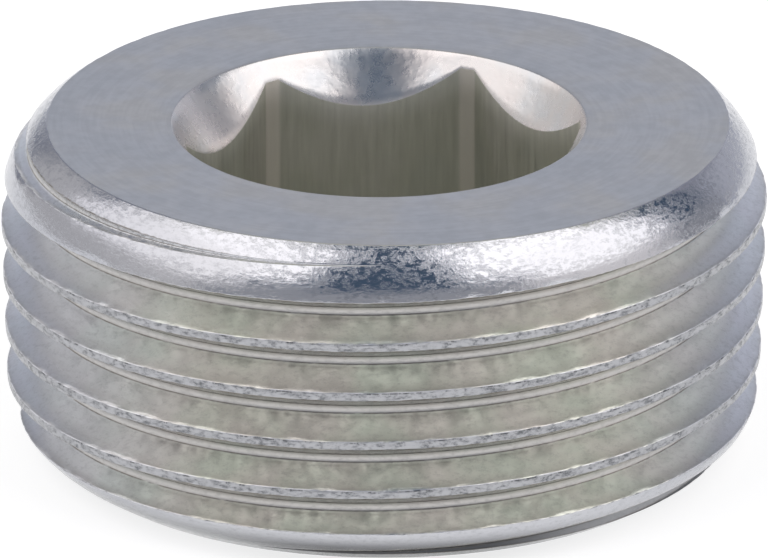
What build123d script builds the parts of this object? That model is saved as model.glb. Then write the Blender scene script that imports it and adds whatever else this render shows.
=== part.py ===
"""Hex socket plug with a taper pipe thread, size R 3/4, turned from one piece of steel.

The plug stands on its small end: the origin is the centre of that flat face, +Z runs up the axis
to the driving face, and two flats of the hex socket lie square to the Y axis. Lengths are in
millimetres and angles in degrees. The body is one turned blank, with a lead-in at the small end
and a rounded shoulder at the large end. One helical groove is cut out of it from end to end, and
a blind hexagonal socket, with a countersink at its mouth and a dished floor, is sunk into the
driving face.
"""

from build123d import *

import os
from math import atan, cos, degrees, floor, radians, sqrt, tan

# ---- driving dimensions -------------------------------------------------------------------------

# Taper pipe thread, 55 degree form: basic sizes of R 3/4.
THREAD_PITCH = 1.8143          # 14 turns to the inch
GAUGE_DIAMETER = 26.441        # major diameter at the gauge plane
GAUGE_HEIGHT = 9.5             # gauge plane above the small end
TAPER = 1 / 16                 # growth of the diameter along the axis
THREAD_ANGLE = 55.0            # between the two flanks of the groove
TRUNCATION = 1 / 6             # share of the sharp V cut off at the crest, and again at the root
THREAD_START_ANGLE = -158.0    # where the middle of the groove crosses the small end
RUN_OUT_DEPTH = 1.2            # how far the cut is drawn out over its last turn

# Blank.
PLUG_LENGTH = 11.65
LEAD_IN_DEPTH = 1.73           # from the crests in to the edge of the small face
LEAD_IN_ANGLE = 58.0           # of the small end's chamfer, from the axis
LEAD_IN_EASING = 1.3          # leg of the second chamfer that eases the first into the taper
SHOULDER_DEPTH = 1.56          # from the crests in to the edge of the driving face
SHOULDER_ANGLE = 43.0          # of the large end's chamfer, from the axis
SHOULDER_RADIUS = 3.3          # blends that chamfer into the taper

# Socket.
SOCKET_FLATS = 12.0            # across the flats, for a 12 mm key
SOCKET_CORNER_FLAT = 0.5       # width of the narrow flat that cuts off each corner
SOCKET_DEPTH = 7.0             # of the full hexagon, from the driving face
FLOOR_ANGLE = 120.0            # between opposite sides of the cone under the hexagon
FLOOR_DIAMETER = 5.0           # of the flat that ends that cone
SINK_DIAMETER = 14.3           # of the countersink, at the driving face
SINK_ANGLE = 68.0              # between opposite sides of the countersink
SINK_END_GAP = 0.5             # from the hexagon's flats in to where the countersink ends

# ---- sizes that follow from them ----------------------------------------------------------------

HALF_TAPER_SLOPE = TAPER / 2                       # growth of the radius along the axis
FLANK_SLOPE = tan(radians(THREAD_ANGLE / 2))       # width gained by each flank per depth
CREST_FLAT = TRUNCATION * THREAD_PITCH
ROOT_FLAT = TRUNCATION * THREAD_PITCH
THREAD_DEPTH = (THREAD_PITCH - CREST_FLAT - ROOT_FLAT) / 2 / FLANK_SLOPE


def crest_radius(height):
    """Radius of the cone that touches the thread's crests, at a height above the small end."""
    return GAUGE_DIAMETER / 2 + (height - GAUGE_HEIGHT) * HALF_TAPER_SLOPE


def chamfer_line(face_height, depth, angle, upwards):
    """Ends of a chamfer, as (radius, height): the edge of its face, and where it meets the crests.

    The edge lies the given depth inside the crests. The chamfer leans outwards from the axis by the
    given angle, and runs upwards from the small face (1) or downwards from the driving face (-1).
    """
    run = depth / (tan(radians(angle)) - upwards * HALF_TAPER_SLOPE)
    height = face_height + upwards * run
    return (crest_radius(face_height) - depth, face_height), (crest_radius(height), height)


def turned_blank():
    """The plug before threading: a cone with an eased lead-in below and a round shoulder above."""
    small_face, lead_in = chamfer_line(0, LEAD_IN_DEPTH, LEAD_IN_ANGLE, 1)
    driving_face, shoulder = chamfer_line(PLUG_LENGTH, SHOULDER_DEPTH, SHOULDER_ANGLE, -1)
    outline = Polyline((0, 0), small_face, lead_in, shoulder, driving_face, (0, PLUG_LENGTH), close=True)
    section = make_face(outline)
    lead_in_corner = section.vertices().sort_by_distance(Vector(*lead_in))[0]
    section = chamfer(lead_in_corner, LEAD_IN_EASING)
    shoulder_corner = section.vertices().sort_by_distance(Vector(*shoulder))[0]
    section = fillet(shoulder_corner, SHOULDER_RADIUS)
    return revolve(Plane.XZ * section, Axis.Z)


def conical_turn(radius, height, outward):
    """One turn of the thread's helix from that radius and height, moving outward as it climbs."""
    cone_angle = atan(outward / THREAD_PITCH)
    return Helix(
        pitch=THREAD_PITCH / cos(cone_angle),
        height=THREAD_PITCH,
        radius=radius,
        center=(0, 0, height),
        cone_angle=degrees(cone_angle),
    )


def thread_groove():
    """The space that one full-length cut takes away, as a closed ribbon along a conical helix.

    Its section is the V of the thread with a flat root. The flanks run on a little past the crests,
    up to a quarter of the crest's flat, so that each crest keeps a clean edge, and from there the
    sides stand square to the axis out to well clear of the blank. Each turn is its own set of ruled
    faces between helices. The ribbon starts one pitch below the plug, and its last turn, which
    passes the driving face, is drawn outwards, so that the groove runs out on the shoulder.
    """
    flank_overrun = CREST_FLAT / 4 / FLANK_SLOPE
    open_half_width = (THREAD_PITCH - CREST_FLAT / 2) / 2
    clearance = THREAD_DEPTH
    section = (                                     # radius past the crests, height off the middle
        (-THREAD_DEPTH, -ROOT_FLAT / 2),
        (-THREAD_DEPTH, ROOT_FLAT / 2),
        (flank_overrun, open_half_width),
        (clearance, open_half_width),
        (clearance, -open_half_width),
        (flank_overrun, -open_half_width),
    )
    taper_growth = THREAD_PITCH * HALF_TAPER_SLOPE
    last_turn = floor(PLUG_LENGTH / THREAD_PITCH)
    faces = []
    corners_at_ends = []
    for turn in range(-1, last_turn + 1):
        middle = turn * THREAD_PITCH
        growth = taper_growth + RUN_OUT_DEPTH if turn == last_turn else taper_growth
        helices = [
            conical_turn(crest_radius(middle + off_middle) + past_crest, middle + off_middle, growth)
            for past_crest, off_middle in section
        ]
        for helix, next_helix in zip(helices, helices[1:] + helices[:1]):
            faces.append(Face.make_surface_from_curves(helix, next_helix))
        if turn == -1:
            corners_at_ends.append([helix @ 0 for helix in helices])
        if turn == last_turn:
            corners_at_ends.append([helix @ 1 for helix in helices])
    for corners in corners_at_ends:
        faces.append(Face(Wire.make_polygon(corners, close=True)))
    return Rot(Z=THREAD_START_ANGLE) * Solid(Shell(faces))


def socket():
    """The space of the socket: a hexagonal prism with its corners cut off, over a dished floor."""
    chamfer_leg = SOCKET_CORNER_FLAT / sqrt(3)      # along each side, for the stated corner flat
    hexagon = RegularPolygon(SOCKET_FLATS / 2, 6, major_radius=False)
    hexagon = chamfer(hexagon.vertices(), chamfer_leg)
    prism_end = PLUG_LENGTH - SOCKET_DEPTH
    prism = Pos(Z=prism_end) * extrude(hexagon, SOCKET_DEPTH)
    dish_depth = (SOCKET_FLATS - FLOOR_DIAMETER) / 2 / tan(radians(FLOOR_ANGLE / 2))
    dish = Cone(FLOOR_DIAMETER / 2, SOCKET_FLATS / 2, dish_depth)
    return prism + Pos(Z=prism_end - dish_depth / 2) * dish


def countersink():
    """The cone that opens the socket's mouth, down to where it is narrower than the hexagon."""
    bottom_radius = SOCKET_FLATS / 2 - SINK_END_GAP
    depth = (SINK_DIAMETER / 2 - bottom_radius) / tan(radians(SINK_ANGLE / 2))
    return Pos(Z=PLUG_LENGTH - depth / 2) * Cone(bottom_radius, SINK_DIAMETER / 2, depth)


def plug_body():
    """The whole plug: the blank less its countersink, its socket and its thread."""
    return turned_blank() - countersink() - socket() - thread_groove()


plug = plug_body().solid()
plug.label = "plug_body"

os.makedirs("parts", exist_ok=True)
export_step(plug, "parts/plug_body.step")
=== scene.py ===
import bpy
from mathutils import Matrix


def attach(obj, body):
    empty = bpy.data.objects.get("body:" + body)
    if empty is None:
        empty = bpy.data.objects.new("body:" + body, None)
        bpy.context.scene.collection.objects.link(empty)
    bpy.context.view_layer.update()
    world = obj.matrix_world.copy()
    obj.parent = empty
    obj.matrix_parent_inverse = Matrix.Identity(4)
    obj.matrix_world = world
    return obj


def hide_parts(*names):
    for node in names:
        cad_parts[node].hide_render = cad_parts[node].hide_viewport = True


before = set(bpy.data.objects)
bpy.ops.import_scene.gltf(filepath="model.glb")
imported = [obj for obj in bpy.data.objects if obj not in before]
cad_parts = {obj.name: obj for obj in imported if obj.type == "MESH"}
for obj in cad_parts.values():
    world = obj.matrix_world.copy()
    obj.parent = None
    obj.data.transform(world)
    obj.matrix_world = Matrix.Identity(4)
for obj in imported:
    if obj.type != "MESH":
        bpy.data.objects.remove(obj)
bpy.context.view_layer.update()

"""Dresses the hex socket plug: a taper-threaded steel plug in zinc plate, on a pale studio floor.

The plug is one turned piece, so one closed mesh stands for its CAD node. Its rings all share the
same directions round the axis: the threaded wall is a profile carried up a helix, and the driving
face, the countersink and the socket close it above, as the small end does below. Sizes are in
millimetres and angles in degrees unless a comment says otherwise, and the mesh is put into metres
as it is made.
"""

import logging
from dataclasses import dataclass, field
from enum import Enum
from typing import Any, Mapping, Sequence

import bmesh
import bpy
import numpy as np
from mathutils import Vector

LOG = logging.getLogger("hex_socket_plug")
MM = 0.001              # metres in a millimetre
TINY = 1e-9             # stands for a length of nothing where one is divided by
AROUND = 80.0           # length of one turn of the wall that the noise is laid out on
NOISE_ROWS = 512        # rows of random values in a noise, more than the wall has cells of height
NOISE_START = 64        # the row that stands at the small end, clear of the table's first
CLOSE_SHARE = 0.3       # the most of a strip that its close rows take up beside each edge
HALVINGS = 40           # how often an interval is halved to find where two curves cross
Array = np.ndarray


# ---- small helpers ------------------------------------------------------------------------------


def linear(hex_colour: str) -> tuple[float, float, float, float]:
    """Turns an sRGB hex colour into linear light.

    Args:
        hex_colour: six hex digits, with or without a leading hash.

    Returns:
        Red, green and blue in linear light, and an alpha of 1.
    """
    digits = hex_colour.lstrip("#")
    srgb = np.array([int(digits[i:i + 2], 16) for i in (0, 2, 4)]) / 255
    light = np.where(srgb <= 0.04045, srgb / 12.92, ((srgb + 0.055) / 1.055) ** 2.4)
    return float(light[0]), float(light[1]), float(light[2]), 1.0


def smooth(value: Array, low: float, high: float) -> Array:
    """Rises from 0 at low to 1 at high along a cubic, flat at both ends."""
    share = np.clip((value - low) / (high - low), 0, 1)
    return share * share * (3 - 2 * share)


def lattice_noise(turn: Array, height: Array, cell: float, seed: int) -> Array:
    """Smooth noise over a wall that closes round the turn.

    Random values stand on a lattice of square cells. Each point blends the four values round it by
    cubic steps, and the lattice repeats after one turn, so that no seam shows.

    Args:
        turn: place round the axis, in turns.
        height: place along the axis, in millimetres.
        cell: side of a cell, in millimetres.
        seed: picks the random values.

    Returns:
        Values from -1 to 1, in the shape that turn and height give together.
    """
    count = round(AROUND / cell)
    table = np.random.default_rng(seed).uniform(-1, 1, (count, NOISE_ROWS))
    u = np.mod(turn, 1.0) * count
    v = height / cell + NOISE_START
    i = np.floor(u).astype(int)
    j = np.floor(v).astype(int)
    a = smooth(u - i, 0, 1)
    b = smooth(v - j, 0, 1)
    i, k = i % count, (i + 1) % count
    j, m = j % NOISE_ROWS, (j + 1) % NOISE_ROWS
    below = table[i, j] * (1 - a) + table[k, j] * a
    above = table[i, m] * (1 - a) + table[k, m] * a
    return below * (1 - b) + above * b


def spread(start: Array, end: Array, inner: int, near: Sequence[float]) -> Array:
    """Places rows from one edge of a strip to the other, closer together beside the edges.

    Args:
        start: where the strip starts, one value per column.
        end: where it ends.
        inner: how many equal steps fill the middle.
        near: distances of the close rows from each edge; on a narrow strip they shrink together.

    Returns:
        The places, with one more axis than start.
    """
    length = np.maximum(np.abs(end - start), TINY)
    close = np.asarray(near) / length[..., None]
    close = close * np.minimum(1, CLOSE_SHARE / close[..., -1:])
    last = close[..., -1:]
    middle = last + (1 - 2 * last) * np.linspace(0, 1, inner + 1)[1:-1]
    zero, one = np.zeros_like(last), np.ones_like(last)
    shares = np.concatenate([zero, close, middle, 1 - close[..., ::-1], one], axis=-1)
    return start[..., None] + (end - start)[..., None] * shares


def placed(angle: Array, radius: Array, height: Array) -> Array:
    """Points at those radii and heights, in the direction of each angle."""
    turn = np.radians(angle)
    return np.stack([radius * np.cos(turn), radius * np.sin(turn), height], axis=-1)


def towards(angle: Array, offset: tuple[float, float]) -> Array:
    """How far a small offset along X and Y reaches in the direction of each angle."""
    turn = np.radians(angle)
    return offset[0] * np.cos(turn) + offset[1] * np.sin(turn)


# ---- shape --------------------------------------------------------------------------------------


class Finish(Enum):
    """Which finish a face of the plug wears; the value is its material slot in the mesh."""

    THREAD = 0
    FACE = 1
    COUNTERSINK = 2
    SOCKET = 3


class Strip(Enum):
    """The strips that a column crosses as it climbs one turn of the thread."""

    LAND = 0
    LEDGE = 1
    ROOT = 2
    UNDERSIDE = 3


@dataclass
class Sheet:
    """One grid of the plug's surface: columns round the axis by rows along the profile.

    Attributes:
        points: columns x rows x 3, in millimetres.
        finish: the finish of its faces.
        zones: columns x rows x 4, the share of ledge, root, underside and shoulder at each point.
        marks: columns x rows x 4, the share of worn edge (partly a painted glint), of painted shade
            in the creases, of a tone of its own (the lead-in's painted shade, or the socket
            corners') and of torn metal under the edge.
    """

    points: Array
    finish: Finish
    zones: Array | None = None
    marks: Array | None = None

    def __post_init__(self) -> None:
        """Leaves a sheet without zones or marks plain."""
        plain = np.zeros(self.points.shape[:2] + (4,))
        self.zones = plain if self.zones is None else self.zones
        self.marks = plain if self.marks is None else self.marks


@dataclass(frozen=True)
class Directions:
    """The directions round the axis that every ring shares, set out from the socket's corners.

    Attributes:
        per_flat: how many steps one side of the hexagon takes.
        per_corner: how many steps the narrow flat in each corner takes.
        corner_flat: width of that narrow flat.
        flats: the hexagon's size across its flats.
    """

    per_flat: int = 68
    per_corner: int = 5
    corner_flat: float = 0.5
    flats: float = 12.0

    @property
    def corner_distance(self) -> float:
        """Distance from the axis to the middle of a corner's flat."""
        sharp = self.flats / 2 / np.cos(np.radians(30))
        return float(sharp - self.corner_flat / 2 * np.tan(np.radians(30)))

    @property
    def half_corner(self) -> float:
        """Half the angle that a corner's flat takes up."""
        return float(np.degrees(np.arctan(self.corner_flat / 2 / self.corner_distance)))

    def angles(self) -> Array:
        """Equal steps over each corner flat and each side, once round and back to the first.

        Returns:
            The angles, in rising order.
        """
        half = self.half_corner
        corner = np.linspace(-half, half, self.per_corner + 1)[:-1]
        side = np.linspace(half, 60 - half, self.per_flat + 1)[:-1]
        sixth = np.concatenate([corner, side])
        turn = np.concatenate([sixth + 60 * k for k in range(6)])
        return np.append(turn, turn[0] + 360)


@dataclass(frozen=True)
class ThreadedWall:
    """The outside of the plug: taper thread, rounded shoulder above and lead-in below.

    Attributes:
        length: from the small end to the driving face.
        pitch: height of one turn of the thread.
        gauge_diameter: across the crests at the gauge plane.
        gauge_height: of the gauge plane over the small end.
        half_taper: growth of the radius along the axis.
        flank_angle: of a flank, from square to the axis.
        truncation: share of the pitch that each flat takes up, at the crest and at the root.
        start_angle: where the middle of the groove leaves the small end.
        run_out_depth: how far the groove is drawn outwards near its end.
        run_out_rise: how far it is drawn upwards there.
        run_out_turns: the turns of the helix over which it is drawn out.
        closing_turns: the turns over which what is left of it closes and drifts to the face.
        lead_in_depth: from the crests in to the small end's edge.
        lead_in_angle: of the lead-in's chamfer, from the axis.
        lead_in_radius: of the arc that joins it to the crests.
        shoulder_depth: from the crests in to the driving face's edge.
        shoulder_radius: of the shoulder's arc.
        shoulder_offset: of the shoulder from the thread's axis, along X and Y.
        turns: the first turn of the groove that is set out, and the one after the last.
        steps: how many steps fill the middle of a land, ledge, root and underside.
        near: distances of the close rows from the edges of each of these strips.
        open_widths: widths of the groove at which it starts to count as open, and is fully open.
    """

    length: float = 11.65
    pitch: float = 1.8143
    gauge_diameter: float = 26.441
    gauge_height: float = 9.5
    half_taper: float = 1 / 32
    flank_angle: float = 27.5
    truncation: float = 1 / 6
    start_angle: float = -158.0
    run_out_depth: float = 0.17
    run_out_rise: float = 0.08
    run_out_turns: tuple[float, float] = (5.6, 6.0)
    closing_turns: tuple[float, float] = (6.26, 6.42)
    lead_in_depth: float = 1.73
    lead_in_angle: float = 58.0
    lead_in_radius: float = 2.6
    shoulder_depth: float = 1.56
    shoulder_radius: float = 3.62
    shoulder_offset: tuple[float, float] = (0.15, 0.0)
    turns: tuple[int, int] = (-1, 7)
    steps: tuple[int, int, int, int] = (4, 3, 2, 2)
    near: tuple[tuple[float, ...], ...] = ((0.03,), (0.02, 0.07), (0.035,), (0.03,))
    open_widths: tuple[float, float] = (0.03, 0.5)

    def crest(self, height: Array) -> Array:
        """Radius of the cone over the crests: the gauge radius plus the taper's share of height."""
        return self.gauge_diameter / 2 + (height - self.gauge_height) * self.half_taper

    def depth(self) -> float:
        """Depth of the thread: half the width left by its two flats, over the flank's slope."""
        open_width = self.pitch * (1 - 2 * self.truncation)
        return float(open_width / 2 / np.tan(np.radians(self.flank_angle)))

    def shoulder(self, angle: Array, height: Array) -> Array:
        """Radius under the shoulder's arc, which leaves the crests smoothly and ends at the face.

        With the crests' slope b, k = sqrt(1 + b^2) and an edge that lies d inside them, the arc
        starts u below the face, where k^2 u^2 - 2 b d u = 2 R d / k - d^2. The shoulder is turned a
        little off the thread's axis, so d changes round the turn.

        Args:
            angle: directions round the axis.
            height: heights, which broadcast against the directions.

        Returns:
            The radius at each point.
        """
        d = self.shoulder_depth - towards(angle, self.shoulder_offset)
        b, big = self.half_taper, self.shoulder_radius
        k = np.hypot(1, b)
        below = (b * d + np.sqrt((b * d) ** 2 + k**2 * (2 * big * d / k - d**2))) / k**2
        start = self.length - below
        middle = start + big * b / k
        inside = self.crest(start) - big / k
        arc = inside + np.sqrt(np.maximum(big**2 - (height - middle) ** 2, 0))
        return np.where(height > start, arc, self.crest(height))

    def lead_in(self, height: Array) -> Array:
        """Radius under the lead-in: a chamfer line, an arc that touches both, and the crests.

        The lines are radius = start + slope x height. The arc's centre lies one radius inside both,
        and the profile is the arc between its two touching points.

        Args:
            height: heights over the small end.

        Returns:
            The radius at each height.
        """
        b, slope, big = self.half_taper, np.tan(np.radians(self.lead_in_angle)), self.lead_in_radius
        crest_start = self.crest(0.0)
        start = crest_start - self.lead_in_depth
        lean, steep = np.hypot(1, b), np.hypot(1, slope)
        centre = (start - crest_start - big * (steep - lean)) / (b - slope)
        inside = crest_start + b * centre - big * lean
        high, low = centre - big * b / lean, centre - big * slope / steep
        arc = inside + np.sqrt(np.maximum(big**2 - (height - centre) ** 2, 0))
        lines = np.minimum(self.crest(height), start + slope * height)
        return np.where((height > low) & (height < high), arc, lines)

    def blank(self, angle: Array, height: Array) -> Array:
        """Radius of the unthreaded blank: the smaller of its two rounded ends."""
        return np.minimum(self.shoulder(angle, height), self.lead_in(height))

    def along(self, angle: Array, turn: Array) -> Array:
        """Turns of the helix from where the groove's middle leaves the small end."""
        return turn + (angle - self.start_angle) / 360

    def middle(self, along: Array) -> Array:
        """Height of the groove's middle: the helix, drawn a little upwards near its end."""
        return self.pitch * along + self.run_out_rise * smooth(along, *self.run_out_turns)

    def groove(self, angle: Array, height: Array, turn: Array) -> Array:
        """Radius of one turn of the groove at a height, whether or not the blank reaches it.

        The root lies one thread depth inside the crests, and past half its flat the flanks rise at
        their angle. Near its end the whole groove is drawn a little outwards.

        Args:
            angle: directions round the axis.
            height: heights over the small end.
            turn: numbers of the turns; all three broadcast against each other.

        Returns:
            The radius at each point.
        """
        along = self.along(angle, turn)
        lift = self.run_out_depth * smooth(along, *self.run_out_turns)
        off = np.abs(height - self.middle(along)) - self.truncation * self.pitch / 2
        rise = np.maximum(off, 0) / np.tan(np.radians(self.flank_angle))
        return self.crest(height) - self.depth() + lift + rise

    def crossings(self, angle: Array, turn: Array) -> tuple[Array, Array, Array, Array]:
        """Heights at which each turn of the groove changes from one strip to the next.

        Going up a turn these are its lower edge, the two sides of its root and its upper edge. The
        edges are where groove and blank have the same radius, found by halving an interval between
        the groove's deepest point and half a pitch away. A turn that the blank doesn't reach has
        all four at one height, which drifts up to the driving face after the groove's end.

        Args:
            angle: the columns' angles, as a column vector.
            turn: the turns' numbers, as a row vector.

        Returns:
            The four heights, each columns x turns.
        """
        along = self.along(angle, turn)
        middle = self.middle(along)
        half_root = self.truncation * self.pitch / 2

        def over(height: Array) -> Array:
            """How far the groove lies outside the blank."""
            return self.groove(angle, height, turn) - self.blank(angle, height)

        side = np.where(over(middle - half_root) < over(middle + half_root), -half_root, half_root)
        deepest = middle + side
        open_here = (over(deepest) < 0) & (along < self.closing_turns[0])
        closed = deepest + (self.length - deepest) * smooth(along, *self.closing_turns)
        found = []
        for way in (-1, 1):
            inside = deepest.copy()
            outside = middle + way * self.pitch / 2
            for _ in range(HALVINGS):
                half = (inside + outside) / 2
                cut = over(half) < 0
                inside = np.where(cut, half, inside)
                outside = np.where(cut, outside, half)
            found.append(np.clip(np.where(open_here, inside, closed), 0, self.length))
        lower, upper = found
        root_low = np.clip(middle - half_root, lower, upper)
        root_high = np.clip(middle + half_root, lower, upper)
        return lower, root_low, root_high, upper

    def sheet(self, directions: Directions) -> Sheet:
        """Sets out the whole wall, from the small end's edge to the driving face's.

        Each column climbs through land, ledge, root and underside of every turn, and each strip has
        the same rows everywhere, so that the rows follow the helix and join one turn on at the seam.

        Args:
            directions: the shared directions round the axis.

        Returns:
            The wall's grid.
        """
        angle = directions.angles()[:, None]
        turn = np.arange(*self.turns)[None, :]
        lower, root_low, root_high, upper = self.crossings(angle, turn)
        start = np.concatenate([np.zeros((len(angle), 1)), upper[:, :-1]], axis=1)
        edges = (start, lower, root_low, root_high, upper)
        strips = [spread(*strip) for strip in zip(edges, edges[1:], self.steps, self.near)]
        counts = [strip.shape[-1] for strip in strips]
        heights = np.concatenate(strips, axis=-1).reshape(len(angle), -1)
        grooves = self.groove(angle[:, :, None], heights[:, :, None], turn[:, None, :])
        radii = np.minimum(self.blank(angle, heights), grooves.min(axis=2))
        opening = smooth(upper - lower, *self.open_widths)
        return Relief(self, angle, heights, radii, opening, counts).sheet()


@dataclass
class Relief:
    """The wall's small relief: eased and nicked edges, pits in the lands and a hammered shoulder.

    Noises run from -1 to 1, and the bare numbers beside them are their shares in a sum.

    Attributes:
        wall: the wall that it belongs to.
        angle: the columns' angles, as a column vector.
        heights: height of every point.
        radii: radius of every point before the relief.
        opening: from 0 to 1, how far each turn of the groove is open, columns x turns.
        counts: how many rows each strip of a turn has.
        noises: side of a cell and seed of the coarse, the middling and the fine noise.
        edge_noises: the same for the two noises of a crest's upper edge and the one of its lower.
        shoulder_start: depths inside the crests where the shoulder's own look starts and is full.
        lead_in_shade_start: the same two depths for the lead-in's painted shade.
        edge_radius: by which every crest's edge is eased.
        edge_move: shares of that by which the rows on an edge move in and away from it.
        beside_move: the same shares for the rows beside them.
        nick_depth: of the deepest nicks in a crest's upper edge.
        clean_share: share of that depth which the nicks in its lower edge reach.
        root_fill: by which the root's corners are filled.
        pit_depth: of the deepest pits in the lands.
        land_waves: height of the lands' soft waves.
        flank_waves: height of the ledges' coarse and finer waves.
        hammer_depth: of the shoulder's hammering.
        rim_nick: depth of the nicks in the driving face's edge.
        rim_height: how far below the face those nicks start.
    """

    wall: ThreadedWall
    angle: Array
    heights: Array
    radii: Array
    opening: Array
    counts: list[int]
    noises: tuple[tuple[float, int], ...] = ((1.3, 11), (0.6, 12), (0.33, 13))
    edge_noises: tuple[tuple[float, int], ...] = ((0.8, 21), (0.36, 22), (0.6, 23))
    shoulder_start: tuple[float, float] = (0.02, 0.16)
    lead_in_shade_start: tuple[float, float] = (0.2, 0.8)
    edge_radius: float = 0.022
    edge_move: tuple[float, float] = (0.86, 0.5)
    beside_move: tuple[float, float] = (0.3, 0.1)
    nick_depth: float = 0.05
    clean_share: float = 0.3
    root_fill: float = 0.018
    pit_depth: float = 0.018
    land_waves: float = 0.005
    flank_waves: tuple[float, float] = (0.003, 0.002)
    hammer_depth: float = 0.003
    rim_nick: float = 0.03
    rim_height: float = 0.12

    def sheet(self) -> Sheet:
        """Moves every point by the relief and by its edge's easing, and marks the zones.

        Returns:
            The wall's grid.
        """
        wall, turns = self.wall, self.opening.shape[1]
        kinds = np.tile(np.repeat([strip.value for strip in Strip], self.counts), turns)
        within = np.tile(np.concatenate([np.r_[0, np.ones(n - 2), 0] for n in self.counts]), turns)
        cut = self.cut()
        on_groove = (Strip.LEDGE, Strip.ROOT, Strip.UNDERSIDE)
        ledge, root, under = ((kinds == strip.value) * cut for strip in on_groove)
        sunk = smooth(wall.crest(self.heights) - self.radii, *self.shoulder_start)
        shoulder = sunk * (1 - cut)

        around = self.angle / 360
        coarse, middling, fine = (lattice_noise(around, self.heights, *noise) for noise in self.noises)
        skin = self.skin(shoulder, middling, fine) * (1 - cut)
        long, short = self.flank_waves
        waves = ledge * within * (long * coarse + short * middling - long)
        flank = np.radians(wall.flank_angle)
        radius = self.radii + skin + waves * np.sin(flank)
        height = self.heights + waves * np.cos(flank)

        edge, crease_shade, torn = (np.zeros(radius.shape) for _ in range(3))
        for number in range(turns):
            self.ease(number, radius, height, edge, crease_shade)
        torn[:, self.counts[0] - 2::sum(self.counts)] = self.opening
        points = placed(self.angle, radius, np.clip(height, 0, wall.length))
        zones = np.stack([ledge, root, under, shoulder], axis=-1)
        # The lead-in's mark is painted shade, darkest towards the small end.
        lead_in = smooth(wall.crest(self.heights) - wall.lead_in(self.heights), *self.lead_in_shade_start)
        marks = np.stack([edge, crease_shade, lead_in, torn * (1 - sunk)], axis=-1)
        return Sheet(points, Finish.THREAD, zones, marks)

    def cut(self) -> Array:
        """How far the groove is open at each point: its turn's opening, and nothing on a land.

        A land's first and last rows lie on the edges of the grooves beside it and go with them, so
        where a groove closes, the land's relief covers it and leaves no line.

        Returns:
            From 0 to 1, in the shape of heights.
        """
        rows, land = sum(self.counts), self.counts[0]
        cut = np.repeat(self.opening[:, :, None], rows, axis=2)
        cut[:, :, :land] = 0
        cut[:, 1:, 0] = self.opening[:, :-1]
        cut[:, :, land - 1] = self.opening
        return cut.reshape(self.heights.shape)

    def skin(self, shoulder: Array, middling: Array, fine: Array) -> Array:
        """Relief of the uncut skin: pits and waves on the lands, hammering on the shoulder.

        Each is a sum of the two noises in its own shares, and the driving face's edge is nicked too.

        Args:
            shoulder: the share of shoulder at each point.
            middling: the middling noise.
            fine: the fine noise.

        Returns:
            How far each point moves outwards.
        """
        pits = np.clip(0.5 * middling + 0.7 * fine - 0.35, 0, 1) * self.pit_depth
        hammer = (0.6 * middling + 0.5 * fine - 1) * self.hammer_depth
        top = self.wall.length
        nicks = smooth(self.heights, top - self.rim_height, top) * self.rim_nick
        land = -pits - self.land_waves * (1 + middling)
        skin = (1 - shoulder) * land + shoulder * hammer
        return skin - nicks * np.clip(0.4 * middling + 0.8 * fine, 0, 1)

    def ease(self, number: int, radius: Array, height: Array, edge: Array, crease_shade: Array) -> None:
        """Eases one turn's edges: the crest's into the metal, the root's corners out of it.

        The land's upper edge, over the ledge, is nicked by noise along the turn, and its lower one
        is nearly clean. The two rows on an edge move in and away from it, and their neighbours less.

        Args:
            number: the turn's number among the columns of opening.
            radius: the points' radii, which are changed.
            height: their heights, which are changed.
            edge: the share of worn edge, partly a painted glint, which is filled in.
            crease_shade: the share of painted shade in the creases, which is filled in.
        """
        around = self.angle[:, 0] / 360
        ledge, root, under, following = number * sum(self.counts) + np.cumsum(self.counts)
        last = following - 1
        share = self.opening[:, number]
        wide, narrow, low = self.edge_noises
        noise = 0.5 * lattice_noise(around, self.heights[:, ledge], *wide)
        noise = noise + 0.8 * lattice_noise(around, self.heights[:, ledge], *narrow)
        eased = 0.5 * self.edge_radius
        worn = share * (eased + self.nick_depth * np.clip(noise, 0, 1))
        noise = lattice_noise(around, self.heights[:, last], *low)
        clean = share * (eased + self.clean_share * self.nick_depth * np.clip(noise, 0, 1))
        filled = self.root_fill * share
        (inwards, away), (little, less) = self.edge_move, self.beside_move
        moves = (
            ((ledge - 1, ledge), -inwards * worn, -away * worn),
            ((ledge - 2, ledge + 1), -little * worn, -less * worn),
            ((last, last + 1), -inwards * clean, away * clean),
            ((root - 1, root), filled, 0.5 * filled),
            ((under - 1, under), filled, -0.5 * filled),
        )
        for rows, outwards, upwards in moves:
            for row in rows:
                if row < radius.shape[1]:
                    radius[:, row] += outwards
                    height[:, row] += upwards
        # Worn edge, made lighter: partly wear, partly a painted glint along the crest's upper edge.
        edge[:, [ledge - 1, ledge]] = share[:, None]
        # Painted shade: dark lines at the root's corners and the land's lower edge, fainter on the ledge
        # under the crest.
        dark = np.clip(2.5 * share, 0, 1)[:, None]
        crease_shade[:, [root - 1, root, under - 1, under, last - 1, last]] = dark
        crease_shade[:, [ledge + 1, ledge + 2]] = dark * (0.4, 0.2)


@dataclass(frozen=True)
class DrivingFace:
    """The flat ring on top, from the shoulder's edge in to the countersink's rim.

    Attributes:
        height: of the face over the small end.
        rings: how many rings fill its middle.
        middle: where they start and end, as shares of the way in.
        support: how far a supporting ring lies from each edge, as a share of the way.
    """

    height: float = 11.65
    rings: int = 7
    middle: tuple[float, float] = (0.1, 0.9)
    support: float = 0.012

    def sheet(self, outer: Array, inner: Array) -> Sheet:
        """Fills the ring with straight lines from each outer point to the inner one beside it.

        Args:
            outer: the shoulder's edge, columns x 3.
            inner: the countersink's rim, columns x 3.

        Returns:
            The face's grid, with supporting rings near its edges.
        """
        middle = np.linspace(*self.middle, self.rings)
        shares = np.array([0, self.support, *middle, 1 - self.support, 1])[None, :, None]
        points = outer[:, None, :] * (1 - shares) + inner[:, None, :] * shares
        points[:, 1:-1, 2] = self.height
        return Sheet(points, Finish.FACE)


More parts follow.
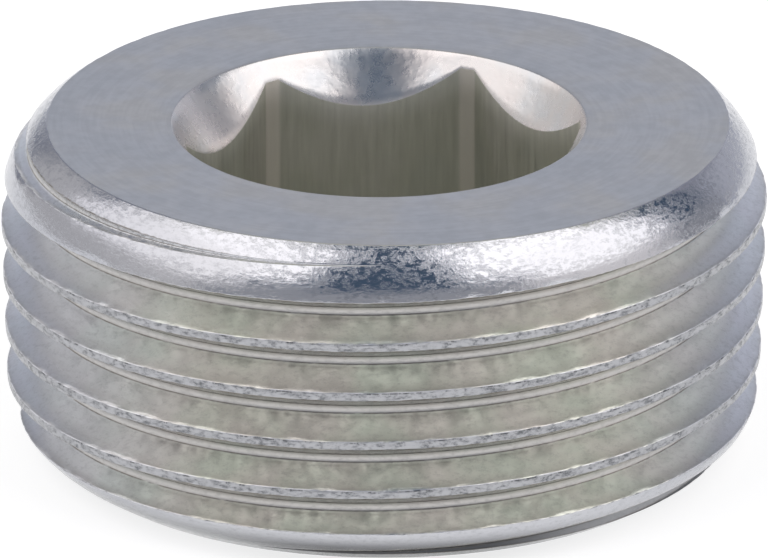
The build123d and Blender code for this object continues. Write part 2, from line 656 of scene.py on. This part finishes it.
@dataclass(frozen=True)
class KeySocket:
    """The countersink and the hexagonal hole under it, with its dished floor.

    Attributes:
        height: of the driving face over the small end.
        depth: of the full hexagon, from that face.
        sink_diameter: of the countersink, at the face.
        sink_angle: between opposite sides of the countersink.
        sink_offset: of the countersink from the axis, along X and Y.
        eased: how far the edge between countersink and walls is eased.
        rim_drop: how far the countersink's rim is eased down.
        floor_diameter: of the flat that ends the floor's cone.
        floor_angle: between opposite sides of that cone.
        floor_shares: where the floor's rings lie, as shares of the way from the walls to its flat.
        sink_rings: how many steps fill the middle of the countersink.
        wall_rings: how many steps fill the middle of the walls.
        near: distances of the close rings from the ends of both.
        least_drop: of the countersink, where the hexagon comes nearest to its rim.
        directions: the shared directions, with the hexagon's sizes.
    """

    height: float = 11.65
    depth: float = 7.0
    sink_diameter: float = 14.3
    sink_angle: float = 68.0
    sink_offset: tuple[float, float] = (-0.16, 0.0)
    eased: float = 0.012
    rim_drop: float = 0.02
    floor_diameter: float = 5.0
    floor_angle: float = 120.0
    floor_shares: tuple[float, ...] = (0.03, 0.3, 0.6, 1.0)
    sink_rings: int = 6
    wall_rings: int = 6
    near: tuple[float, ...] = (0.04,)
    least_drop: float = 0.02
    directions: Directions = field(default_factory=Directions)

    def hexagon(self, angle: Array) -> Array:
        """Distance to the hexagon's wall in each direction: the nearest of its twelve sides.

        A side at a distance d from the axis, square to the direction a, lies d / cos(angle - a) out.

        Args:
            angle: directions round the axis.

        Returns:
            The distance in each direction.
        """
        to_side = np.radians(angle % 60 - 30)
        to_corner = np.radians((angle + 30) % 60 - 30)
        side = self.directions.flats / 2 / np.cos(to_side)
        corner = self.directions.corner_distance / np.cos(to_corner)
        return np.minimum(side, corner)

    def rim_radius(self) -> Array:
        """Radius of the countersink's circle in each direction, with its small offset."""
        return self.sink_diameter / 2 + towards(self.directions.angles(), self.sink_offset)

    def rim(self) -> Array:
        """The countersink's circle in the driving face, eased down a little."""
        height = np.full_like(self.rim_radius(), self.height - self.rim_drop)
        return placed(self.directions.angles(), self.rim_radius(), height)

    def drop(self) -> Array:
        """How far below the face the countersink ends in each direction."""
        inwards = np.maximum(self.rim_radius() - self.hexagon(self.directions.angles()), self.least_drop)
        return inwards / np.tan(np.radians(self.sink_angle / 2))

    def cone(self) -> Sheet:
        """The countersink, from its rim down to its scalloped end.

        The cone's radius falls with depth by the tangent of half its angle, and it ends where that
        equals the hexagon's distance in the same direction.

        Returns:
            The countersink's grid.
        """
        angle = self.directions.angles()[:, None]
        drop = self.drop()
        steps = spread(np.zeros_like(drop), drop, self.sink_rings, self.near)
        radius = self.rim_radius()[:, None] - steps * np.tan(np.radians(self.sink_angle / 2))
        height = self.height - steps
        height[:, 0] -= self.rim_drop
        height[:, -1] -= self.eased
        radius[:, -1] += self.eased
        return Sheet(placed(angle, radius, height), Finish.COUNTERSINK)

    def hole(self) -> Sheet:
        """The socket's walls, straight down from the countersink, and its floor.

        The floor is a cone from the hexagon's flats in to a small flat, which closes on the axis;
        outside the flats, in the corners, it is level. The corners' flats are marked, but not the
        floor under them.

        Returns:
            The hole's grid.
        """
        angle = self.directions.angles()[:, None]
        wall = self.hexagon(angle)
        small, prism_end = self.floor_diameter / 2, self.height - self.depth
        ends = np.full(len(wall), prism_end)
        down = spread(self.height - self.drop(), ends, self.wall_rings, self.near)
        out = np.repeat(wall, down.shape[1], axis=1)
        down[:, 0] -= self.eased
        out[:, 0] += self.eased

        inwards = np.array(self.floor_shares)
        floor_out = wall * (1 - inwards) + small * inwards
        fall = np.clip(self.directions.flats / 2 - floor_out, 0, None)
        floor = prism_end - fall / np.tan(np.radians(self.floor_angle / 2))
        flat_out = np.zeros_like(wall) + np.array([small / 2, 0.0])
        out = np.concatenate([out, floor_out, flat_out], axis=1)
        down = np.concatenate([down, floor, floor[:, [-1, -1]]], axis=1)

        in_corner = np.abs((angle + 30) % 60 - 30) < self.directions.half_corner + 0.01
        marks = np.zeros(out.shape + (4,))
        marks[..., 2] = in_corner & (down > prism_end + self.eased)
        return Sheet(placed(angle, out, down), Finish.SOCKET, marks=marks)


@dataclass(frozen=True)
class SmallEnd:
    """The flat end that the plug stands on.

    Attributes:
        rings: how many rings fill its middle.
        support: where a supporting ring lies, as a share of the way out to the edge.
    """

    rings: int = 4
    support: float = 0.99

    def sheet(self, outer: Array) -> Sheet:
        """Fills the end from the axis out to the lead-in's edge, with a ring close to the edge.

        Args:
            outer: the lead-in's edge, columns x 3.

        Returns:
            The end's grid.
        """
        shares = np.append(np.linspace(0, self.support, self.rings + 1), 1.0)[None, :, None]
        points = outer[:, None, :] * shares
        points[..., 2] = 0
        return Sheet(points, Finish.FACE)


@dataclass(frozen=True)
class Plug:
    """The whole plug: its sheets joined into one closed mesh.

    Attributes:
        directions: the directions round the axis that all sheets share.
        wall: the threaded outside.
        face: the driving face.
        socket: the countersink and the hexagonal hole.
        small_end: the end that the plug stands on.
        weld_distance: points nearer to each other than this become one.
        empty_edge: edges shorter than this are dropped, with the faces that they leave empty.
    """

    directions: Directions = field(default_factory=Directions)
    wall: ThreadedWall = field(default_factory=ThreadedWall)
    face: DrivingFace = field(default_factory=DrivingFace)
    socket: KeySocket = field(default_factory=KeySocket)
    small_end: SmallEnd = field(default_factory=SmallEnd)
    weld_distance: float = 0.0015
    empty_edge: float = 0.0005

    def sheets(self) -> list[Sheet]:
        """Sets out every sheet of the surface.

        Returns:
            The sheets in order, from the small end's middle to the socket's.
        """
        wall = self.wall.sheet(self.directions)
        return [
            self.small_end.sheet(wall.points[:, 0]),
            wall,
            self.face.sheet(wall.points[:, -1], self.socket.rim()),
            self.socket.cone(),
            self.socket.hole(),
        ]

    def build(self, materials: Mapping[Finish, bpy.types.Material]) -> bpy.types.Object:
        """Makes the mesh: one quad between each pair of columns and rows, then welded where they meet.

        Args:
            materials: the material of each finish.

        Returns:
            The plug, at the origin, unturned and unscaled.
        """
        sheets = self.sheets()
        faces, start = [], 0
        for sheet in sheets:
            columns, rows = sheet.points.shape[:2]
            grid = start + np.arange(columns * rows).reshape(columns, rows)
            quads = np.stack([grid[:-1, :-1], grid[1:, :-1], grid[1:, 1:], grid[:-1, 1:]], axis=-1)
            faces.append(quads.reshape(-1, 4))
            start += columns * rows
        slots = [np.full(len(quads), s.finish.value) for s, quads in zip(sheets, faces)]
        points = np.concatenate([s.points.reshape(-1, 3) for s in sheets]) * MM
        mesh = bpy.data.meshes.new("plug")
        mesh.from_pydata(points, [], np.concatenate(faces))
        for finish in Finish:
            mesh.materials.append(materials[finish])
        mesh.polygons.foreach_set("material_index", np.concatenate(slots).astype(np.int32))
        for name in ("zones", "marks"):
            values = np.concatenate([getattr(s, name).reshape(-1, 4) for s in sheets])
            layer = mesh.attributes.new(name, "FLOAT_COLOR", "POINT")
            layer.data.foreach_set("color", values.astype(np.float32).ravel())
        self.weld(mesh)
        mesh.polygons.foreach_set("use_smooth", np.ones(len(mesh.polygons), bool))
        piece = bpy.data.objects.new("plug", mesh)
        bpy.context.scene.collection.objects.link(piece)
        return piece

    def weld(self, mesh: bpy.types.Mesh) -> None:
        """Joins points that share a place, which closes seams and poles and drops empty faces.

        Args:
            mesh: the mesh, which is changed.
        """
        work = bmesh.new()
        work.from_mesh(mesh)
        bmesh.ops.remove_doubles(work, verts=work.verts, dist=self.weld_distance * MM)
        bmesh.ops.dissolve_degenerate(work, dist=self.empty_edge * MM, edges=work.edges)
        bmesh.ops.triangulate(work, faces=[f for f in work.faces if len(f.verts) > 4])
        volume = work.calc_volume(signed=True)
        if volume < 0:
            bmesh.ops.reverse_faces(work, faces=work.faces)
        open_edges = sum(not e.is_manifold for e in work.edges)
        work.to_mesh(mesh)
        work.free()
        triangles = sum(len(p.vertices) - 2 for p in mesh.polygons)
        cubic = volume / MM**3
        LOG.info("mesh: %d triangles, %.1f mm3, %d open edges", triangles, cubic, open_edges)


# ---- finishes -----------------------------------------------------------------------------------


def add(
    tree: bpy.types.NodeTree,
    kind: str,
    inputs: Mapping[str | int, Any] | None = None,
    **settings: Any,
) -> bpy.types.Node:
    """Adds one node with its settings and links.

    Args:
        tree: where the node goes.
        kind: Blender's name for the node's type, without its "ShaderNode".
        inputs: what each input gets, by its name or number: a value, a socket, or a node, which
            stands for its first output.
        settings: the node's own properties; "stops" gives a colour ramp's (place, colour) pairs.

    Returns:
        The new node.
    """
    made = tree.nodes.new("ShaderNode" + kind)
    stops = settings.pop("stops", ())
    for name, value in settings.items():
        setattr(made, name, value)
    for number, (place, colour) in enumerate(stops):
        if number >= len(made.color_ramp.elements):
            made.color_ramp.elements.new(place)
        made.color_ramp.elements[number].position = place
        made.color_ramp.elements[number].color = colour
    for name, value in (inputs or {}).items():
        if isinstance(value, bpy.types.Node):
            value = value.outputs[0]
        if isinstance(value, bpy.types.NodeSocket):
            tree.links.new(value, made.inputs[name])
        else:
            made.inputs[name].default_value = value
    return made


@dataclass(frozen=True)
class Plate:
    """What the finishes of one plated piece share.

    Bright zinc plate on steel with a thin clear passivation: a satin metal, a little warm where
    light bounces more than once, with grey, olive and rose clouds in the film.

    Attributes:
        name: the material's name.
        roughness: roughness where no pattern changes it.
        tints: the film's three colours, from one side of its clouds to the other.
    """

    name: str
    roughness: float
    tints: tuple[str, str, str]

    def start(self) -> tuple[bpy.types.Material, bpy.types.NodeTree, bpy.types.Node]:
        """Starts a material of this finish's name.

        Returns:
            The material, its empty tree, and a node that gives Object coordinates in millimetres.
        """
        material = bpy.data.materials.new(self.name)
        material.use_nodes = True
        tree = material.node_tree
        tree.nodes.clear()
        place = add(tree, "TexCoord").outputs["Object"]
        return material, tree, add(tree, "Mapping", {"Vector": place, "Scale": (1 / MM,) * 3})

    def film(self, tree: bpy.types.NodeTree, place: bpy.types.Node, size: float) -> bpy.types.Node:
        """The film's three tints, in soft clouds.

        Args:
            tree: the material's tree.
            place: Object coordinates in millimetres.
            size: rough size of a cloud, in millimetres.

        Returns:
            The node that gives the colour.
        """
        cloud = add(tree, "TexNoise", {"Vector": place, "Scale": 1 / size, "Detail": 4.0})
        stops = [(share, linear(tint)) for share, tint in zip((0.38, 0.5, 0.62), self.tints)]
        return add(tree, "ValToRGB", {"Fac": cloud.outputs["Fac"]}, stops=stops)

    def finish(self, tree: bpy.types.NodeTree, colour: Any, roughness: Any, normal: Any) -> None:
        """Ends the tree in a metal shader; its constant settings stand on the shader itself."""
        inputs = {"Base Color": colour, "Metallic": 1.0, "Roughness": roughness, "Normal": normal}
        add(tree, "OutputMaterial", {"Surface": add(tree, "BsdfPrincipled", inputs)})


@dataclass(frozen=True)
class ThreadFinish(Plate):
    """The threaded wall, cut with a die and then plated.

    The flanks keep a soft satin with olive and rose clouds, the lands are speckled with small pits
    and their upper edges worn light, partly as a painted glint, and the shoulder is brighter and
    lightly hammered, so that what it mirrors breaks up at the edges.

    Attributes:
        land_tint: colour of the lands, over which the others are laid.
        root_tint: of the thread's root.
        under_tint: of the undersides of the crests.
        shoulder_tint: of the shoulder.
        lead_in_shade_tint: painted shade on the lead-in, which stands for its dark reflection of the
            shadowed floor under the plug.
        pit_tint: in the pits.
        crease_shade_tint: painted shade in the creases: the root's corners, the land's lower edge and,
            fainter, the ledge just under each crest's upper edge.
        torn_tint: of torn metal just under a crest's upper edge.
        edge_tint: of the worn edges, lighter: partly wear and partly a painted glint.
        side_reflection_tints: painted reflection and shade on flanks, shoulder and lead-in towards both
            ends of
            the X axis: flanks bluer, shoulder darker, the lead-in's painted shade lighter.
        side_reflection_spans: the distances along X between which each of these comes up.
        side_reflection_share: how far it does.
        clouds: size of the film's clouds.
        shoulder_shine: roughness that the shoulder's brighter cut adds, so it is negative.
        grain_shine: roughness that the grain adds at most.
        heights: of the grain, the pits and the shoulder's hammering.
    """

    land_tint: str = "#b1b2b6"
    root_tint: str = "#c0bebc"
    under_tint: str = "#dcdbd9"
    shoulder_tint: str = "#c8c9ce"
    lead_in_shade_tint: str = "#505154"
    pit_tint: str = "#5c6064"
    crease_shade_tint: str = "#7d7872"
    torn_tint: str = "#34363b"
    edge_tint: str = "#d8d9de"
    side_reflection_tints: tuple[str, str, str] = ("#d7dbe7", "#abadb5", "#a6a7aa")
    side_reflection_spans: tuple[tuple[float, float], ...] = ((6.0, 12.5), (6.0, 12.5), (2.0, 8.0))
    side_reflection_share: float = 0.75
    clouds: float = 2.6
    shoulder_shine: float = -0.2
    grain_shine: float = 0.1
    heights: tuple[float, float, float] = (0.004, 0.01, 0.007)

    def films(self, tree: bpy.types.NodeTree, place: bpy.types.Node) -> list[bpy.types.NodeSocket]:
        """Colours of the flanks, shoulder and lead-in, each with its painted side reflection and shade.

        Args:
            tree: the material's tree.
            place: Object coordinates in millimetres.

        Returns:
            The three colours, in that order.
        """
        away = add(tree, "SeparateXYZ", {"Vector": place}).outputs["X"]
        away = add(tree, "Math", {0: away}, operation="ABSOLUTE")
        flanks = self.film(tree, place, self.clouds)
        middles = (flanks, linear(self.shoulder_tint), linear(self.lead_in_shade_tint))
        found = []
        # Towards both ends of X each colour turns to its side tint: painted reflection and shade.
        for middle, tint, (near, far) in zip(middles, self.side_reflection_tints, self.side_reflection_spans):
            inputs = {"Value": away, "From Min": near, "From Max": far, "To Max": self.side_reflection_share}
            share = add(tree, "MapRange", inputs, interpolation_type="SMOOTHSTEP")
            inputs = {0: share, 6: middle, 7: linear(tint)}
            found.append(add(tree, "Mix", inputs, data_type="RGBA").outputs[2])
        return found

    def build(self) -> bpy.types.Material:
        """Lays the colours over each other by the zones and marks at each point.

        Returns:
            The wall's material.
        """
        material, tree, place = self.start()
        zones = add(tree, "Attribute", attribute_name="zones")
        marks = add(tree, "Attribute", attribute_name="marks")
        ledge, root, under = add(tree, "SeparateColor", {"Color": zones.outputs["Color"]}).outputs
        edge, crease_shade, lead_in = add(tree, "SeparateColor", {"Color": marks.outputs["Color"]}).outputs
        shoulder, under_edge = zones.outputs["Alpha"], marks.outputs["Alpha"]

        # Noise drawn out along the turns: pits 0.3 mm long and half as high, torn dashes 0.5 mm long,
        # and the shoulder's turned rings, 0.5 mm long and 0.1 mm high before they break up.
        drawn_out = []
        for per_mm, detail, roughness in (
            ((3.4, 3.4, 7.0), 8.0, 0.8),
            ((2.0, 2.0, 0.5), 6.0, 0.7),
            ((2.0, 2.0, 9.0), 2.0, 0.5),
        ):
            along = add(tree, "Mapping", {"Vector": place, "Scale": per_mm})
            inputs = {"Vector": along, "Scale": 1.0, "Detail": detail, "Roughness": roughness}
            drawn_out.append(add(tree, "TexNoise", inputs).outputs["Fac"])
        pits, dashes, rings = drawn_out

        # Even noise: patches of 0.7 mm, dents of 0.5 mm and a grain of 0.1 mm.
        patches, dents, grain = (
            add(tree, "TexNoise", {"Vector": place, "Scale": per_mm, "Detail": detail}).outputs["Fac"]
            for per_mm, detail in ((1.4, 3.0), (2.0, 3.0), (9.0, 2.0))
        )

        # Pits are dense on the lands and rare elsewhere; the other marks are broken up by patches.
        clean = add(tree, "Math", {0: ledge, 1: root}, operation="MAXIMUM")
        clean = add(tree, "Math", {0: clean, 1: shoulder}, operation="MAXIMUM")
        bare = add(tree, "Math", {0: clean, 1: -0.65, 2: 0.85}, operation="MULTIPLY_ADD")
        broken = []
        for share, noise, low, high in (
            (bare, pits, 0.46, 0.66),
            (crease_shade, patches, 0.2, 0.5),
            (under_edge, dashes, 0.52, 0.62),
            (edge, patches, 0.42, 0.58),
        ):
            inputs = {"Value": noise, "From Min": low, "From Max": high}
            patchy = add(tree, "MapRange", inputs, interpolation_type="SMOOTHSTEP")
            broken.append(add(tree, "Math", {0: share, 1: patchy}, operation="MULTIPLY"))
        pit, crease_shaded, torn, worn = broken

        flank_film, shoulder_film, lead_in_shade_film = self.films(tree, place)
        colour: Any = linear(self.land_tint)
        layers = (
            (ledge, flank_film),
            (root, linear(self.root_tint)),
            (under, linear(self.under_tint)),
            (shoulder, shoulder_film),
            # painted shade on the lead-in
            (lead_in, lead_in_shade_film),
            (pit, linear(self.pit_tint)),
            # painted shade in the creases
            (crease_shaded, linear(self.crease_shade_tint)),
            (torn, linear(self.torn_tint)),
            # worn edges, partly a painted glint
            (worn, linear(self.edge_tint)),
        )
        for share, tint in layers:
            colour = add(tree, "Mix", {0: share, 6: colour, 7: tint}, data_type="RGBA").outputs[2]

        inputs = {0: shoulder, 1: self.shoulder_shine, 2: self.roughness}
        shine = add(tree, "Math", inputs, operation="MULTIPLY_ADD")
        shine = add(tree, "Math", {0: grain, 1: self.grain_shine, 2: shine}, operation="MULTIPLY_ADD")
        grain_height, pit_height, hammer_height = (height * MM for height in self.heights)
        dented = add(tree, "Mix", {0: shoulder, 2: dents, 3: rings})
        fine = add(tree, "Bump", {"Height": grain, "Distance": grain_height})
        pitted = add(tree, "Bump", {"Height": pit, "Distance": -pit_height, "Normal": fine})
        hammered = add(tree, "Bump", {"Height": dented, "Distance": hammer_height, "Normal": pitted})
        self.finish(tree, colour, shine, hammered)
        return material


@dataclass(frozen=True)
class FaceFinish(Plate):
    """A faced end, turned and plated: satin, with faint rings of the tool and a mottled film.

    Attributes:
        ring_step: distance between the tool's rings, drawn coarser than the real feed so it shows.
        clouds: size of the film's clouds.
        ring_shine: roughness that the rings add at most.
        height: of the rings, and of the grain between them.
    """

    ring_step: float = 0.16
    clouds: float = 3.0
    ring_shine: float = 0.1
    height: float = 0.006

    def build(self) -> bpy.types.Material:
        """Rings are noise of the distance from the axis that changes slowly round it.

        The mottling is about 0.5 mm and the grain 0.1 mm in size.

        Returns:
            The turned faces' material.
        """
        material, tree, place = self.start()
        film = self.film(tree, place, self.clouds)
        parts = add(tree, "SeparateXYZ", {"Vector": place})
        flat = add(tree, "CombineXYZ", {0: parts.outputs["X"], 1: parts.outputs["Y"]})
        distance = add(tree, "VectorMath", {0: flat}, operation="LENGTH").outputs["Value"]
        heading = add(tree, "VectorMath", {0: flat}, operation="NORMALIZE")
        slow = add(tree, "VectorMath", {0: heading, "Scale": 4.0}, operation="SCALE")
        stepped = add(tree, "Math", {0: distance, 1: 1 / self.ring_step}, operation="MULTIPLY")
        offset = add(tree, "CombineXYZ", {2: stepped})
        ringed = add(tree, "VectorMath", {0: slow, 1: offset}, operation="ADD")
        rings = add(tree, "TexNoise", {"Vector": ringed, "Scale": 1.0, "Detail": 3.0}).outputs["Fac"]
        mottle = add(tree, "TexNoise", {"Vector": place, "Scale": 2.2, "Detail": 5.0}).outputs["Fac"]
        both = add(tree, "Math", {0: rings, 1: mottle}, operation="ADD")
        inputs = {"Value": both, "From Min": 0.8, "From Max": 1.2, "To Min": 0.92, "To Max": 1.04}
        inputs = {0: film, "Scale": add(tree, "MapRange", inputs)}
        toned = add(tree, "VectorMath", inputs, operation="SCALE")
        grain = add(tree, "TexNoise", {"Vector": place, "Scale": 8.0, "Detail": 3.0}).outputs["Fac"]
        inputs = {0: rings, 1: self.ring_shine, 2: self.roughness}
        shine = add(tree, "Math", inputs, operation="MULTIPLY_ADD")
        turned = add(tree, "Bump", {"Height": rings, "Distance": self.height * MM})
        rough = add(tree, "Bump", {"Height": grain, "Distance": self.height * MM, "Normal": turned})
        self.finish(tree, toned, shine, rough)
        return material


@dataclass(frozen=True)
class CountersinkFinish(Plate):
    """The countersink, cut smooth and plated bright: it mirrors the studio softly.

    Attributes:
        clouds: size of the film's clouds.
        grain_shine: roughness that the grain adds at most.
        height: of the grain.
    """

    clouds: float = 2.0
    grain_shine: float = 0.1
    height: float = 0.012

    def build(self) -> bpy.types.Material:
        """A near-even metal with a faint grain of about 0.3 mm.

        Returns:
            The countersink's material.
        """
        material, tree, place = self.start()
        grain = add(tree, "TexNoise", {"Vector": place, "Scale": 3.0, "Detail": 5.0}).outputs["Fac"]
        inputs = {0: grain, 1: self.grain_shine, 2: self.roughness}
        shine = add(tree, "Math", inputs, operation="MULTIPLY_ADD")
        bumped = add(tree, "Bump", {"Height": grain, "Distance": self.height * MM})
        self.finish(tree, self.film(tree, place, self.clouds), shine, bumped)
        return material


@dataclass(frozen=True)
class SocketFinish(Plate):
    """The socket's walls, broached: dull, with fine upright marks that the broach leaves.

    Attributes:
        corner_tint: colour of the narrow flats in the corners.
        clouds: size of the film's clouds.
        mark_shine: roughness that the marks add at most.
        height: of the marks.
    """

    corner_tint: str = "#d6d2ca"
    clouds: float = 2.5
    mark_shine: float = 0.15
    height: float = 0.02

    def build(self) -> bpy.types.Material:
        """Marks are noise of 0.2 mm stretched twelve times along the axis.

        Returns:
            The socket's material.
        """
        material, tree, place = self.start()
        stretched = add(tree, "Mapping", {"Vector": place, "Scale": (5.0, 5.0, 0.4)})
        marks = add(tree, "TexNoise", {"Vector": stretched, "Scale": 1.0, "Detail": 4.0}).outputs["Fac"]
        inputs = {"Value": marks, "From Min": 0.3, "From Max": 0.7, "To Min": 0.9, "To Max": 1.07}
        inputs = {0: self.film(tree, place, self.clouds), "Scale": add(tree, "MapRange", inputs)}
        toned = add(tree, "VectorMath", inputs, operation="SCALE")
        own = add(tree, "Attribute", attribute_name="marks").outputs["Color"]
        corner = add(tree, "SeparateColor", {"Color": own}).outputs["Blue"]
        inputs = {0: corner, 6: toned, 7: linear(self.corner_tint)}
        toned = add(tree, "Mix", inputs, data_type="RGBA").outputs[2]
        inputs = {0: marks, 1: self.mark_shine, 2: self.roughness}
        shine = add(tree, "Math", inputs, operation="MULTIPLY_ADD")
        bumped = add(tree, "Bump", {"Height": marks, "Distance": self.height * MM})
        self.finish(tree, toned, shine, bumped)
        return material


# ---- studio -------------------------------------------------------------------------------------


@dataclass(frozen=True)
class Panel:
    """One glowing panel of the light tent that surrounds the plug.

    Attributes:
        azimuth: its middle round the plug, from the camera's side; right is positive.
        half_width: half its width, as an angle.
        elevation: its middle's height over the floor, as an angle.
        half_height: half its height, as an angle.
        soft: half the width of its soft edge.
        glow: the light that it sends, where 1 shows as white.
        tint: its colour.
    """

    azimuth: float
    half_width: float
    elevation: float
    half_height: float
    soft: float
    glow: float
    tint: str

    def light(self, brightest: float) -> tuple[float, float, float, float]:
        """Its light as a share of the brightest panel's."""
        red, green, blue, _ = (c * self.glow / brightest for c in linear(self.tint))
        return red, green, blue, 1.0


@dataclass(frozen=True)
class LightTent:
    """Soft light from all round: a dim sky with glowing panels in it.

    Attributes:
        front: azimuth of the camera's side, from which the panels' are counted.
        brightest: strength of the world's light, by which every glow is divided, so none passes 1.
        sky: what lies behind the panels.
        panels: laid over it in order: one overhead and one low down all round, those behind the
            plug, low ones at its sides, and the brightest, higher up at its sides.
    """

    front: float
    brightest: float = 2.4
    sky: Panel = Panel(0, 180, 0, 90, 0, 1.0, "#4c5e74")
    panels: tuple[Panel, ...] = (
        Panel(180, 96, 66, 19, 7, 0.62, "#fffff2"),
        Panel(0, 200, 4, 28, 3, 0.5, "#e6e8f0"),
        Panel(-146, 20, 24, 34, 8, 0.44, "#dde1f0"),
        Panel(145, 19, 24, 34, 5, 0.53, "#dee0f0"),
        Panel(142, 15, 6, 17, 4, 0.8, "#e6e8f2"),
        Panel(115, 10, 31, 11, 4, 1.0, "#4c5e74"),
        Panel(178, 20, 22, 30, 12, 0.82, "#eaeef8"),
        Panel(-103, 44, 12, 22, 5, 0.8, "#f2f0f0"),
        Panel(72, 26, 11, 22, 5, 1.0, "#f6f2f2"),
        Panel(-70, 43, 57, 20, 4, 1.7, "#fffcfc"),
        Panel(65, 36, 57, 20, 4, 1.9, "#fffcfc"),
        Panel(-88, 38, 40, 15, 4, 1.4, "#fffcfc"),
        Panel(78, 28, 39, 14, 3, 1.7, "#fffcfc"),
    )

    def build(self) -> bpy.types.World:
        """Makes the world: each panel's share falls from 1 to 0 across its soft edge.

        The share is a smooth step of the angle from the panel's middle, sideways and upwards, and
        the panels are laid over the sky in order.

        Returns:
            The scene's world.
        """
        world = bpy.data.worlds.new("light_tent")
        bpy.context.scene.world = world
        world.use_nodes = True
        tree = world.node_tree
        tree.nodes.clear()
        heading = add(tree, "TexCoord").outputs["Generated"]
        turned = add(tree, "Mapping", {"Vector": heading, "Rotation": (0, 0, -np.radians(self.front))})
        x, y, z = add(tree, "SeparateXYZ", {"Vector": turned}).outputs
        azimuth = add(tree, "Math", {0: y, 1: x}, operation="ARCTAN2")
        elevation = add(tree, "Math", {0: z}, operation="ARCSINE")
        colour: Any = self.sky.light(self.brightest)
        for panel in self.panels:
            across = add(tree, "Math", {0: azimuth, 1: np.radians(panel.azimuth)}, operation="SUBTRACT")
            across = add(tree, "Math", {0: across, 1: np.pi, 2: -np.pi}, operation="WRAP")
            up = add(tree, "Math", {0: elevation, 1: np.radians(panel.elevation)}, operation="SUBTRACT")
            share: Any = 1.0
            for away, half in ((across, panel.half_width), (up, panel.half_height)):
                inputs = {
                    "Value": add(tree, "Math", {0: away}, operation="ABSOLUTE"),
                    "From Min": np.radians(half + panel.soft),
                    "From Max": np.radians(half - panel.soft),
                }
                step = add(tree, "MapRange", inputs, interpolation_type="SMOOTHSTEP")
                share = add(tree, "Math", {0: share, 1: step}, operation="MULTIPLY")
            inputs = {0: share, 6: colour, 7: panel.light(self.brightest)}
            colour = add(tree, "Mix", inputs, data_type="RGBA").outputs[2]
        light = add(tree, "Background", {"Color": colour, "Strength": self.brightest})
        add(tree, "OutputWorld", {"Surface": light})
        return world


@dataclass(frozen=True)
class Studio:
    """Pale floor and the camera; distances here are in metres.

    Attributes:
        front: azimuth of the camera.
        elevation: its angle over the floor.
        distance: from the camera to what it aims at.
        view_width: width of what it sees at that distance.
        aim: the point in the middle of the view.
        sensor: width of the sensor, in the millimetres that lenses are given in.
        clip: how near and how far the camera sees.
        floor_half: half the floor's side.
        floor_drop: how far it lies under the plug, so that the two never share a plane.
        floor_tint: colour of the card.
        floor_glow: light of its own that keeps it pale all over.
    """

    front: float = -94.65
    elevation: float = 21.46
    distance: float = 0.76
    view_width: float = 0.026483
    aim: tuple[float, float, float] = (0.000014, -0.000001, 0.005817)
    sensor: float = 36.0
    clip: tuple[float, float] = (0.01, 20.0)
    floor_half: float = 3.0
    floor_drop: float = 0.00002
    floor_tint: str = "#aeaeae"
    floor_glow: float = 0.75

    def floor(self) -> bpy.types.Object:
        """A flat sheet of white card under the plug, far wider than the view.

        Returns:
            The floor.
        """
        corners = np.array([[-1, -1, 0], [1, -1, 0], [1, 1, 0], [-1, 1, 0]]) * self.floor_half
        corners[:, 2] = -self.floor_drop
        mesh = bpy.data.meshes.new("floor")
        mesh.from_pydata(corners, [], [(0, 1, 2, 3)])
        material = bpy.data.materials.new("white_card")
        material.use_nodes = True
        tree = material.node_tree
        tree.nodes.clear()
        inputs = {
            "Base Color": linear(self.floor_tint),
            "Roughness": 0.9,
            "Specular IOR Level": 0.0,
            "Emission Color": linear("#ffffff"),
            "Emission Strength": self.floor_glow,
        }
        add(tree, "OutputMaterial", {"Surface": add(tree, "BsdfPrincipled", inputs)})
        mesh.materials.append(material)
        sheet = bpy.data.objects.new("floor", mesh)
        bpy.context.scene.collection.objects.link(sheet)
        return sheet

    def camera(self) -> bpy.types.Object:
        """A long lens at the viewing angle, with everything in focus.

        Returns:
            The scene's camera.
        """
        data = bpy.data.cameras.new("camera")
        data.sensor_width = self.sensor
        data.lens = self.sensor * self.distance / self.view_width
        data.clip_start, data.clip_end = self.clip
        camera = bpy.data.objects.new("camera", data)
        turn, rise = np.radians(self.front), np.radians(self.elevation)
        away = Vector((np.cos(turn) * np.cos(rise), np.sin(turn) * np.cos(rise), np.sin(rise)))
        camera.location = Vector(self.aim) + away * self.distance
        camera.rotation_euler = away.to_track_quat("Z", "Y").to_euler()
        bpy.context.scene.collection.objects.link(camera)
        bpy.context.scene.camera = camera
        return camera


def main() -> None:
    """Builds the studio and the plug, and reports each piece."""
    logging.basicConfig(level=logging.INFO, format="%(name)s: %(message)s")
    bpy.context.scene.view_settings.view_transform = "Standard"
    studio = Studio()
    studio.floor()
    studio.camera()
    LightTent(studio.front).build()
    LOG.info("studio: floor, camera and light tent")

    thread = ThreadFinish("zinc_plate_thread", 0.26, ("#dfe4d8", "#e4e4da", "#e4e0d9"))
    face = FaceFinish("zinc_plate_turned", 0.36, ("#b4b6bc", "#b8b9be", "#bab9ba"))
    countersink = CountersinkFinish("zinc_plate_bright", 0.23, ("#d9d3d1", "#d7d4d3", "#d2d3d5"))
    socket = SocketFinish("zinc_plate_broached", 0.48, ("#c7c6bd", "#c3c3b8", "#c0c1b7"))
    materials = {
        Finish.THREAD: thread.build(),
        Finish.FACE: face.build(),
        Finish.COUNTERSINK: countersink.build(),
        Finish.SOCKET: socket.build(),
    }
    plug = Plug().build(materials)
    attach(plug, "root")
    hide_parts("plug_body")
    LOG.info("plug: %d faces", len(plug.data.polygons))


if __name__ == "__main__":
    main()
